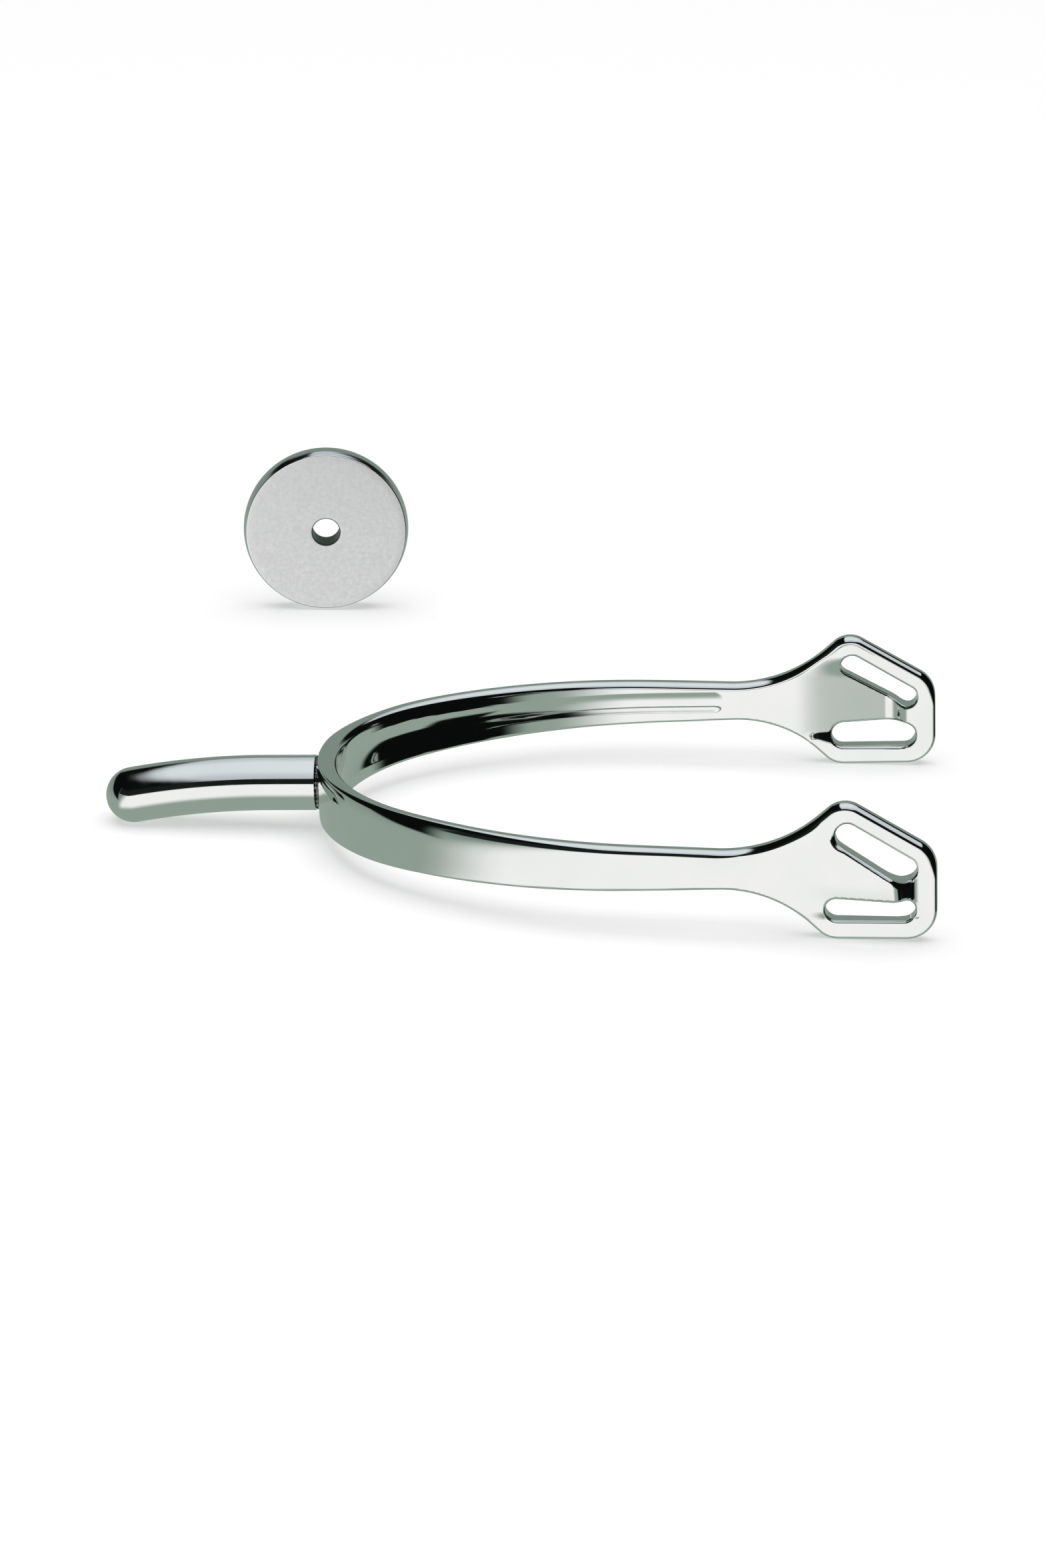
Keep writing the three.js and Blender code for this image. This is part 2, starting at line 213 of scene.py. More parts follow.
# Rings along the turned pieces: for each rounded edge, and along the neck and the rowel's rim.
EDGE_RINGS = 7
ROOT_COLLAR = 0.6
STRAIGHT_RINGS = 8
BEND_RINGS = 40
DOME_RINGS = 28
RIM_RINGS = 15


# ---------------------------------------------------------------- placing

def spur_pitch():
    """How far the spur's nose is tipped up when it lies on its neck tip and the feet of its plates."""
    tip_angle = math.asin((NECK_BEND_X - NECK_TIP_CENTRE_X) / NECK_BEND_RADIUS)
    tip_z = NECK_Z - NECK_BEND_RADIUS * (1 - math.cos(tip_angle))
    flare_x = WAIST_X + BOTTOM_FLARE_RADIUS * math.sin(BOTTOM_FLARE_TURN)
    flare_z = WAIST_BOTTOM_Z - BOTTOM_FLARE_RADIUS * (1 - math.cos(BOTTOM_FLARE_TURN))
    corner_x = flare_x + (flare_z - FOOT_Z) / math.tan(BOTTOM_FLARE_TURN)
    foot_x = corner_x + FOOT_RADIUS * math.tan(BOTTOM_FLARE_TURN / 2)
    span = foot_x - NECK_TIP_CENTRE_X
    fall = FOOT_Z + FOOT_RADIUS - tip_z
    lean = math.asin((FOOT_RADIUS - NECK_RADIUS) / math.hypot(span, fall))
    return lean - math.atan2(fall, span)


PITCH = spur_pitch()


def middle(node):
    """Middle of a CAD node's box, in millimetres in the part's frame."""
    low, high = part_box(node)
    return np.array((low + high) / 2) / MM


def tipped(vectors):
    """Turns vectors from the spur's own frame to the part's frame."""
    x, y, z = np.moveaxis(np.asarray(vectors, float), -1, 0)
    cos, sin = math.cos(PITCH), math.sin(PITCH)
    return np.stack([x * cos - z * sin, y, x * sin + z * cos], axis=-1)


SPUR_ORIGIN = middle("braze_ring") - tipped([CAD_BRAZE_X, 0, NECK_Z])
ROWEL_CENTRE = middle("rowel_disc")


def placed(points):
    """Points of the spur, in millimetres in its own frame, as metres in the part's frame."""
    return (tipped(points) + SPUR_ORIGIN) * MM


# ---------------------------------------------------------------- meshes

def mesh_object(name, points, faces, normals=None):
    mesh = bpy.data.meshes.new(name)
    mesh.from_pydata([tuple(p) for p in points], [], [tuple(f) for f in faces])
    mesh.update()
    mesh.polygons.foreach_set("use_smooth", [True] * len(mesh.polygons))
    if normals is not None:
        mesh.normals_split_custom_set_from_vertices([tuple(n) for n in normals])
    obj = bpy.data.objects.new(name, mesh)
    bpy.context.scene.collection.objects.link(obj)
    return obj


def step(x, a, b):
    """Smooth step from 0 at a to 1 at b."""
    t = np.clip((x - a) / (b - a), 0, 1)
    return t * t * (3 - 2 * t)


def soft_ramp(x, softness):
    """0 below x = 0 and x above it, with a soft corner."""
    return softness * np.logaddexp(0, x / softness)


def round_max(a, b, radius, power=2.0):
    """Intersection of two distances with a rounded edge."""
    u = np.maximum(a + radius, 0)
    v = np.maximum(b + radius, 0)
    return np.minimum(np.maximum(a, b), -radius) + (u ** power + v ** power) ** (1 / power)


def smooth_min(a, b, width):
    """Union of two distances with a filleted corner."""
    h = np.maximum(width - np.abs(a - b), 0) / width
    return np.minimum(a, b) - h * h * width / 4


def blend(pair, share):
    """From the pair's first value where the share is 0 to its second where it is 1."""
    return pair[0] + (pair[1] - pair[0]) * share


# ---------------------------------------------------------------- heel band: its path in plan

HEEL_LENGTH = HEEL_RADIUS * HEEL_TURN
STRAIGHT_START = HEEL_LENGTH + SIDE_RADIUS * SIDE_TURN


def eased_run(x, reach):
    """The running total of a smooth step from 0 to 1 that is centred on x = 0."""
    t = np.clip((x + reach) / (2 * reach), 0, 1)
    return np.where(x > reach, x, 2 * reach * (t ** 3 - t ** 4 / 2))


def heading(length):
    """Direction of the left branch at a length along it from the heel."""
    turn = length / HEEL_RADIUS
    turn = turn + (1 / SIDE_RADIUS - 1 / HEEL_RADIUS) * eased_run(length - HEEL_LENGTH, HEEL_EASE)
    turn = turn - eased_run(length - STRAIGHT_START, SIDE_EASE) / SIDE_RADIUS
    return math.pi / 2 - turn


PATH_STEP = 0.02
PATH_REACH = 130
PATH_LENGTH = np.arange(0, PATH_REACH, PATH_STEP)
PATH_HEADING = heading(PATH_LENGTH + PATH_STEP / 2)
PATH_X = np.concatenate([[0], np.cumsum(np.cos(PATH_HEADING) * PATH_STEP)])[:-1]
PATH_Y = np.concatenate([[0], np.cumsum(np.sin(PATH_HEADING) * PATH_STEP)])[:-1]


def path_x(u):
    return np.interp(np.abs(u), PATH_LENGTH, PATH_X)


def path_y(u):
    return np.interp(np.abs(u), PATH_LENGTH, PATH_Y)


def path_bend(u):
    """Curvature of the path."""
    reach = 0.1
    a = np.abs(u)
    return -(heading(a + reach) - heading(np.abs(a - reach))) / (a + reach - np.abs(a - reach))


def band_point(u, v, w):
    """Point at length u, height v and distance w out from the middle of the thickness."""
    h = heading(np.abs(u))
    x = path_x(u) - w * np.sin(h)
    y = np.sign(u) * (path_y(u) + w * np.cos(h))
    return np.stack([x, y, v], axis=-1)


# ---------------------------------------------------------------- heel band: its outline from the side

def crossing(first, second):
    """Where two lines meet, each given as a point and an angle."""
    (x0, z0, a0), (x1, z1, a1) = first, second
    det = math.sin(a1 - a0)
    run = ((x1 - x0) * math.sin(a1) - (z1 - z0) * math.cos(a1)) / det
    return np.array([x0 + run * math.cos(a0), z0 + run * math.sin(a0)])


def outline_edges():
    """Lines of the outline, anticlockwise from under the heel, and the radius where each meets the next."""
    bottom_x = WAIST_X + BOTTOM_FLARE_RADIUS * math.sin(BOTTOM_FLARE_TURN)
    bottom_z = WAIST_BOTTOM_Z - BOTTOM_FLARE_RADIUS * (1 - math.cos(BOTTOM_FLARE_TURN))
    top_x = WAIST_X + TOP_FLARE_RADIUS * math.sin(TOP_FLARE_TURN)
    top_z = WAIST_TOP_Z + TOP_FLARE_RADIUS * (1 - math.cos(TOP_FLARE_TURN))
    edges = [
        (WAIST_X, WAIST_BOTTOM_Z, BOTTOM_TAPER),
        (bottom_x, bottom_z, -BOTTOM_FLARE_TURN),
        (WAIST_X, FOOT_Z, 0.0),
        (END_X, 0.0, math.pi / 2),
        (SLOPE_AT_X, SLOPE_AT_Z, math.pi - SLOPE),
        (top_x, top_z, math.pi + TOP_FLARE_TURN),
        (WAIST_X, WAIST_TOP_Z, math.pi - TOP_TAPER),
        (0.0, HEEL_TOP_Z, math.pi),
    ]
    radii = [
        BOTTOM_FLARE_RADIUS, FOOT_RADIUS, END_RADIUS, END_RADIUS,
        PEAK_RADIUS, TOP_FLARE_RADIUS, KNEE_RADIUS,
    ]
    return edges, radii


def outline_pieces():
    """The outline as lines (start, end) and arcs (centre, radius, start angle, turn)."""
    edges, radii = outline_edges()
    far = 60.0
    lines, arcs = [], []
    start = np.array([-far, edges[0][1] - (WAIST_X + far) * math.tan(edges[0][2])])
    for before, after, radius in zip(edges, edges[1:], radii):
        turn = math.remainder(after[2] - before[2], 2 * math.pi)
        corner = crossing(before, after)
        reach = radius * math.tan(abs(turn) / 2)
        into = np.array([math.cos(before[2]), math.sin(before[2])])
        out = np.array([math.cos(after[2]), math.sin(after[2])])
        left = np.array([-into[1], into[0]]) * math.copysign(1, turn)
        centre = corner - into * reach + left * radius
        lines.append((start, corner - into * reach))
        arcs.append((centre, radius, math.atan2(-left[1], -left[0]), turn))
        start = corner + out * reach
    lines.append((start, start + out * far * 2))
    return lines, arcs


OUTLINE = outline_pieces()
FAR_AWAY = 1e6
TOUCHING = 1e-6


def outline_distance(x, z):
    """Signed distance to the outline, negative inside."""
    lines, arcs = OUTLINE
    best = np.full(np.broadcast(x, z).shape, FAR_AWAY)
    for (ax, az), (bx, bz) in lines:
        length = math.hypot(bx - ax, bz - az)
        tx, tz = (bx - ax) / length, (bz - az) / length
        along = (x - ax) * tx + (z - az) * tz
        off = (x - ax) * tz - (z - az) * tx
        beside = (along > -TOUCHING) & (along < length + TOUCHING)
        best = np.where(beside & (np.abs(off) < np.abs(best)), off, best)
    for (cx, cz), radius, begin, turn in arcs:
        side = math.copysign(1, turn)
        swept = np.mod((np.arctan2(z - cz, x - cx) - begin) * side, 2 * math.pi)
        off = (np.hypot(x - cx, z - cz) - radius) * side
        beside = (swept < abs(turn) + TOUCHING) | (swept > 2 * math.pi - TOUCHING)
        best = np.where(beside & (np.abs(off) < np.abs(best)), off, best)
    return best


def slot_distance(x, z, slot):
    """Signed distance to a slot with round ends, negative in the slot."""
    (x0, z0), (x1, z1), width = slot
    length = math.hypot(x1 - x0, z1 - z0)
    tx, tz = (x1 - x0) / length, (z1 - z0) / length
    along = np.clip((x - x0) * tx + (z - z0) * tz, 0, length)
    return np.hypot(x - x0 - along * tx, z - z0 - along * tz) - width / 2


# ---------------------------------------------------------------- heel band: its solid

def web_lift(x, z, web):
    """How far a face of the plate leans out between the slots, up to its step back."""
    rise, start_x, end_x = web
    inside = web is WEB_INNER
    low_z = LOWER_SLOT[0][1]
    later = 0 if inside else WEB_FOOT_DELAY * (1 - step(z - low_z, *WEB_DELAY_FADE))
    climb = rise * soft_ramp(x - start_x - later, WEB_SOFTNESS)
    climb = climb * step(x - start_x, *WEB_RUN_IN)
    if inside:
        under = soft_ramp(FOLD_Z - z, FOLD_CREASE)
        slope = ((FOLD_SLOPE * step(x, *FOLD_START)) ** 4 + (climb / FOLD_DROP) ** 4) ** 0.25
        left_over = climb - slope * under
        climb = (left_over + np.sqrt(left_over ** 2 + (FOLD_FOOT * climb) ** 2)) / 2
    else:
        climb = climb * step(z - low_z, *WEB_FOOT_BLEND)
    (x0, z0), (x1, z1), _ = UPPER_SLOT
    line = np.minimum(z0 + (x - x0) * (z1 - z0) / (x1 - x0), WEB_TOP_LEFT_Z)
    below_line = 1 - step(z - line, *WEB_BLEND)
    down = soft_ramp(end_x - x, WEB_FOOT_CREASE) - WEB_TAIL
    return np.maximum(smooth_min(climb * below_line, np.maximum(down, 0), WEB_TOP_CREASE), 0)


def lean_factor(x, z, web):
    """Turns a height over a leaning face into a distance from it."""
    reach = 0.05
    along = web_lift(x + reach, z, web) - web_lift(x - reach, z, web)
    up = web_lift(x, z + reach, web) - web_lift(x, z - reach, web)
    return 1 / np.sqrt(1 + (along ** 2 + up ** 2) / (4 * reach ** 2))


def wing_distance(u, v, outer):
    """Fairing beside the boss: a long low ridge with a bevelled top, that narrows to a blunt end."""
    a = np.abs(u)
    t = np.clip((a - WING_ROOT) / (WING_END - WING_ROOT), 0, 1)
    drop = (WING_TIP_BOTTOM_Z - WING_ROOT_BOTTOM_Z) * (1 - t) ** WING_CURVE
    fade = 1 - WING_FADE[1] * step(t, WING_FADE[0], 1)
    face = outer - blend(WING_PROUD, t) * fade
    above = v - blend(WING_TOP_Z, t ** WING_TOP_CURVE)
    bevel = math.cos(WING_SHOULDER_ANGLE) * face + math.sin(WING_SHOULDER_ANGLE) * above
    over = np.maximum(np.maximum(face, bevel), v - WING_LIMIT_Z)
    under = round_max(WING_TIP_BOTTOM_Z - drop - WING_UNDERSIDE / 2 - v, face, WING_UNDERSIDE)
    ridge = round_max(np.maximum(over, under), a - WING_END, WING_END_EDGE)
    return np.maximum(ridge, -WING_DEPTH - outer)


def roll_off(u, x, side, upper):
    """How far the outer face has dropped back near its upper edge."""
    half = blend(HALF_HEIGHT, np.clip(x / WAIST_X, 0, 1))
    slimmer = step(x, *ROLL_SLIMS_X)
    power = blend(ROLL_POWER, slimmer)
    share = step(np.abs(u), *ROLL_START) * blend((ROLL_LEAST, 1), upper)
    share = share * (1 - ROLL_SHALLOWER * (1 - step(np.abs(u), *ROLL_DEEPENS)))
    height = np.clip(1 + side / half, 0, ROLL_REACH)
    return share * blend(ROLL_SLOPE, slimmer) * half / power * height ** power


def fuller_depth(u, v):
    """Depth of the groove along the inside of each branch."""
    narrow = step(np.abs(u), *FULLER_NARROWS)
    run = np.clip(np.abs(u), 0, FULLER_END - FULLER_HALF[1])
    across = np.hypot(np.abs(u) - run, v - FULLER_Z) / blend(FULLER_HALF, narrow)
    groove = np.maximum(1 - across ** 2, 0) ** FULLER_POWER
    return blend(FULLER_DEPTH, narrow) * groove * step(np.abs(u), *FULLER_START)


def band_distance(u, v, w):
    """Signed distance to the surface of the heel band, about true near the surface."""
    x = path_x(u)
    side = outline_distance(x, v)
    slots = np.maximum(-slot_distance(x, v, LOWER_SLOT), -slot_distance(x, v, UPPER_SLOT))
    plate = step(x, *PLATE_START_X)
    upper = step(v, *LOWER_EDGE_Z)
    outer_lift = web_lift(x, v, WEB_OUTER)
    outer = w - THICKNESS / 2 + roll_off(u, x, side, upper) * (1 - plate) - outer_lift
    outer = outer * lean_factor(x, v, WEB_OUTER)
    inner = fuller_depth(u, v) - w - THICKNESS / 2 + web_lift(x, v, WEB_INNER)
    inner = inner * lean_factor(x, v, WEB_INNER)
    edge = blend(OUTER_EDGE, step(np.abs(u), *ROLL_START))
    edge = blend((edge, PLATE_OUTER_EDGE), plate)
    body = round_max(side, outer, blend((np.minimum(edge, LOWER_EDGE), edge), upper), EDGE_POWER)
    body = np.maximum(body, round_max(side, inner, blend((LOWER_EDGE, INNER_EDGE), upper), EDGE_POWER))
    share = step(outer_lift, *WEB_SLOT_LIFT) * step(v, *WEB_SLOT_Z)
    body = np.maximum(body, round_max(slots, outer, blend((SLOT_EDGE, WEB_SLOT_EDGE), share)))
    depth = WEB_SLOT_CHAMFER * share - WEB_SLOT_CHAMFER_SHIFT
    slope = math.cos(WEB_SLOT_CHAMFER_ANGLE) * outer + math.sin(WEB_SLOT_CHAMFER_ANGLE) * slots
    body = round_max(body, slope + depth, WEB_SLOT_CHAMFER_EDGE)
    body = np.maximum(body, round_max(slots, inner, SLOT_EDGE))
    return with_boss(body, u, v, w, outer)


def with_boss(body, u, v, w, outer):
    """Adds the boss and its fairing to the band, and drills the blind bore for the neck's tenon."""
    x, y, z = np.moveaxis(band_point(*np.broadcast_arrays(u, v, w)), -1, 0)
    radial = np.hypot(y, z - NECK_Z)
    boss = np.maximum(radial - NECK_RADIUS, x)
    root = smooth_min(boss, wing_distance(u, v, outer), WING_FILLET)
    joined = smooth_min(body, root, BOSS_FILLET)
    joined = np.where(np.abs(u) < WING_END + WING_BEYOND, joined, body)
    in_front = round_max(radial - NECK_RADIUS - FACE_CLEARANCE, x - BOSS_FACE_X, FACE_EDGE)
    joined = round_max(joined, -in_front, FACE_EDGE)
    bore = np.maximum(radial - BORE_RADIUS, x - BORE_END_X)
    return np.maximum(joined, -bore)


def spread(from_value, to_value, pitch):
    """Even values between two, about a pitch apart."""
    count = max(2, int(round((to_value - from_value) / pitch)) + 1)
    return np.linspace(from_value, to_value, count)


def grid_lines(start, runs):
    """Grid lines from start, through runs of (end, pitch)."""
    lines = [[start]]
    for end, pitch in runs:
        lines.append(spread(start, end, pitch)[1:])
        start = end
    return np.concatenate(lines)


def band_grid():
    """Grid lines along the band, up, and through the thickness."""
    straight = (END_X + GRID_MARGIN - path_x(STRAIGHT_START)) / math.cos(heading(PATH_REACH))
    half = grid_lines(0.0, GRID_ALONG + ((STRAIGHT_START + straight, GRID_PLATE_PITCH),))
    along = np.concatenate([-half[:0:-1], half])
    return along, grid_lines(FOOT_Z - GRID_MARGIN, GRID_UP), spread(*GRID_OUT)


def surface_net(grid, values):
    """Dual mesh of the zero surface: one vertex in each cell that it crosses, one quad for each edge."""
    inside = values < 0
    shape = tuple(n - 1 for n in values.shape)
    total = np.zeros(shape + (3,))
    count = np.zeros(shape)
    crossings = []
    for axis in range(3):
        low = [slice(None)] * 3
        high = [slice(None)] * 3
        low[axis] = slice(None, -1)
        high[axis] = slice(1, None)
        low, high = tuple(low), tuple(high)
        cut = np.argwhere(inside[low] != inside[high])
        ends = cut.copy()
        ends[:, axis] += 1
        a = values[tuple(cut.T)]
        b = values[tuple(ends.T)]
        t = a / (a - b)
        place = np.stack([grid[k][cut[:, k]] for k in range(3)], axis=-1)
        place[:, axis] += t * (grid[axis][ends[:, axis]] - grid[axis][cut[:, axis]])
        crossings.append((axis, cut, a < 0))
        others = [k for k in range(3) if k != axis]
        for da in (0, 1):
            for db in (0, 1):
                cell = cut.copy()
                cell[:, others[0]] -= da
                cell[:, others[1]] -= db
                np.add.at(total, tuple(cell.T), place)
                np.add.at(count, tuple(cell.T), 1)
    used = count > 0
    index = np.full(shape, -1)
    index[used] = np.arange(used.sum())
    vertices = total[used] / count[used][:, None]
    faces = []
    for axis, cut, starts_inside in crossings:
        b, c = (axis + 1) % 3, (axis + 2) % 3
        corners = []
        for db, dc in ((1, 1), (0, 1), (0, 0), (1, 0)):
            cell = cut.copy()
            cell[:, b] -= db
            cell[:, c] -= dc
            corners.append(index[tuple(cell.T)])
        quad = np.stack(corners, axis=-1)
        faces.append(np.where(starts_inside[:, None], quad, quad[:, ::-1]))
    return vertices, np.concatenate(faces)


def band_gradient(points, reach=0.03):
    """Gradient in the directions along the branch, up and out, in real millimetres."""
    parts = []
    for axis in range(3):
        shift = np.zeros(3)
        shift[axis] = reach
        ahead = band_distance(*(points + shift).T)
        behind = band_distance(*(points - shift).T)
        parts.append((ahead - behind) / (2 * reach))
    stretch = 1 + points[:, 2] * path_bend(points[:, 0])
    parts[0] = parts[0] / stretch
    return np.stack(parts, axis=-1), stretch


def heel_band():
    """Takes the surface off the grid, then pulls its points onto the exact surface."""
    grid = band_grid()
    along, up, out = np.meshgrid(*grid, indexing="ij", sparse=True)
    values = band_distance(along, up, out)
    points, faces = surface_net(grid, values)
    for _ in range(PULLS):
        slope, stretch = band_gradient(points)
        value = band_distance(*points.T)
        size = np.maximum((slope ** 2).sum(1), PULL_LEAST_SLOPE)
        move = np.clip(value / size, -PULL_LIMIT, PULL_LIMIT)[:, None] * slope
        move[:, 0] /= stretch
        points = points - move
    slope, _ = band_gradient(points)
    turn = heading(np.abs(points[:, 0]))
    side = np.sign(points[:, 0])
    normals = np.stack([
        slope[:, 0] * side * np.cos(turn) - slope[:, 2] * np.sin(turn),
        slope[:, 0] * np.sin(turn) + slope[:, 2] * side * np.cos(turn),
        slope[:, 1],
    ], axis=-1)
    normals /= np.linalg.norm(normals, axis=1)[:, None]
    real = placed(band_point(*points.T))
    return mesh_object("heel_band_polished", real, faces[:, ::-1], tipped(normals))


# ---------------------------------------------------------------- neck, braze ring and rowel

def ring_mesh(rings, closed=False):
    """Faces between rings of points that all have the same count. A ring of one point closes an end."""
    points, faces, starts = [], [], []
    for ring in rings:
        starts.append((len(points), len(ring)))
        points.extend(ring)
    pairs = list(zip(starts, starts[1:] + starts[:1] if closed else starts[1:]))
    for (a, count_a), (b, count_b) in pairs:
        count = max(count_a, count_b)
        for k in range(count):
            n = (k + 1) % count
            if count_a == 1:
                faces.append((a, b + k, b + n))
            elif count_b == 1:
                faces.append((a + k, b, a + n))
            else:
                faces.append((a + k, b + k, b + n, a + n))
    return np.array(points), faces


def neck_station(length):
    """Centre and direction of the neck's axis at a length back from where its bend starts."""
    if length <= 0:
        return np.array([NECK_BEND_X - length, 0, NECK_Z]), np.array([-1.0, 0, 0])
    angle = length / NECK_BEND_RADIUS
    centre = np.array([
        NECK_BEND_X - NECK_BEND_RADIUS * math.sin(angle),
        0,
        NECK_Z - NECK_BEND_RADIUS * (1 - math.cos(angle)),
    ])
    return centre, np.array([-math.cos(angle), 0, -math.sin(angle)])


def all_round(sides):
    """Angles of the sides of a round piece."""
    return np.arange(sides) * 2 * math.pi / sides


def neck_ring(centre, axis, radius):
    across = np.array([0, 1.0, 0])
    upward = np.cross(axis, across)
    turns = all_round(NECK_SIDES)
    return [centre + radius * (math.cos(t) * across + math.sin(t) * upward) for t in turns]


def neck():
    """The prong with its tenon, as rings along its axis from the tenon's end to the domed tip."""
    root = NECK_BEND_X - NECK_ROOT_X
    tenon_end = NECK_BEND_X - TENON_END_X
    profile = [
        (tenon_end, TENON_RADIUS - TENON_CHAMFER),
        (tenon_end + TENON_CHAMFER, TENON_RADIUS),
        (root - CRISP, TENON_RADIUS),
        (root, TENON_RADIUS + CRISP),
    ]
    profile += [(root, radius) for radius in ROOT_FACE_RADII]
    profile += [(root + CRISP / 2, NECK_RADIUS - ROOT_CHAMFER)]
    for t in np.linspace(0, math.pi / 2, EDGE_RINGS)[1:]:
        back = ROOT_CHAMFER * (1 - math.cos(t))
        profile.append((root + back, NECK_RADIUS - ROOT_CHAMFER * (1 - math.sin(t))))
    profile += [(s, NECK_RADIUS) for s in np.linspace(root + ROOT_COLLAR, 0, STRAIGHT_RINGS)]
    bend = NECK_BEND_RADIUS * math.asin((NECK_BEND_X - NECK_TIP_CENTRE_X) / NECK_BEND_RADIUS)
    profile += [(s, NECK_RADIUS) for s in np.linspace(0, bend, BEND_RINGS)[1:]]
    rings = [[neck_station(profile[0][0])[0]]]
    for length, radius in profile:
        centre, axis = neck_station(length)
        rings.append(neck_ring(centre, axis, radius))
    centre, axis = neck_station(bend)
    for t in np.linspace(0, math.pi / 2, DOME_RINGS)[1:-1]:
        dome_centre = centre + axis * NECK_RADIUS * math.sin(t)
        rings.append(neck_ring(dome_centre, axis, NECK_RADIUS * math.cos(t)))
    rings.append([centre + axis * NECK_RADIUS])
    points, faces = ring_mesh(rings)
    return mesh_object("neck_polished", placed(points), faces)


def braze_ring():
    """Filler metal squeezed out of the joint: a recessed collar with an uneven, beaded ridge."""
    turns = all_round(BRAZE_SIDES)
    beads = sum(height * np.sin(count * turns + phase) for height, count, phase in BRAZE_BEADS)
    left_slope = [(BRAZE_X - x, BRAZE_RADIUS + rise, share) for x, rise, share in BRAZE_RIDGE]
    right_slope = [(BRAZE_X + x, BRAZE_RADIUS + rise, share) for x, rise, share in BRAZE_RIDGE[::-1]]
    profile = [(NECK_ROOT_X, BRAZE_BORE_RADIUS, 0), (NECK_ROOT_X, BRAZE_RADIUS, 0)]
    profile += left_slope + right_slope
    profile += [(BOSS_FACE_X, BRAZE_RADIUS, 0), (BOSS_FACE_X, BRAZE_BORE_RADIUS, 0)]
    rings = []
    for x, radius, share in profile:
        r = radius + share * beads
        ring = [np.full(BRAZE_SIDES, x), r * np.cos(turns), NECK_Z + r * np.sin(turns)]
        rings.append(np.stack(ring, axis=-1))
    points, faces = ring_mesh([list(r) for r in rings], closed=True)
    return mesh_object("braze_bead", placed(points), faces)


def rowel():
    """Disc with a crowned rim and softly broken edges, turned by ROWEL_YAW where it stands."""
    half = ROWEL_THICKNESS / 2
    shoulder = ROWEL_RADIUS - ROWEL_CROWN
    mouth, rim = [], []
    for t in np.linspace(0, math.pi / 2, EDGE_RINGS):
        short = 1 - math.sin(t)
        drop = 1 - math.cos(t)
        mouth.append((ROWEL_BORE_RADIUS + ROWEL_MOUTH * short, half - ROWEL_MOUTH * drop))
        rim.append((shoulder - ROWEL_EDGE * short, half - ROWEL_EDGE * drop))
    front = mouth[::-1] + [(r, half) for r in ROWEL_FACE_RADII] + rim
    crown = half - ROWEL_EDGE
    wall = []
    for z in np.linspace(crown, -crown, RIM_RINGS)[1:-1]:
        wall.append((ROWEL_RADIUS - ROWEL_CROWN * (z / crown) ** 2, z))
    back = [(r, -z) for r, z in front[::-1]]
    inner = [(ROWEL_BORE_RADIUS, z) for z in ROWEL_BORE_OFFSETS]
    turns = all_round(ROWEL_SIDES)
    rings = []
    for radius, offset in front + wall + back + inner:
        rings.append([(radius * math.cos(t), -offset, radius * math.sin(t)) for t in turns])
    points, faces = ring_mesh(rings, closed=True)
    cos, sin = math.cos(ROWEL_YAW), math.sin(ROWEL_YAW)
    x, y, z = points.T
    turned = np.stack([x * cos - y * sin, x * sin + y * cos, z], axis=-1)
    return mesh_object("rowel_satin", (turned + ROWEL_CENTRE) * MM, faces)


def face_outwards(obj):
    """Makes every face of a closed mesh point out."""
    work = bmesh.new()
    work.from_mesh(obj.data)
    bmesh.ops.recalc_face_normals(work, faces=work.faces)
    work.to_mesh(obj.data)
    work.free()


# ---------------------------------------------------------------- materials

# Most of a noise texture's values are in NOISE_RANGE. MIX_SOCKETS are the places of a Mix node's A, B and
# result sockets, for each kind of value.
NOISE_RANGE = (0.3, 0.7)
MIX_SOCKETS = {"RGBA": (6, 7, 2), "FLOAT": (2, 3, 0)}


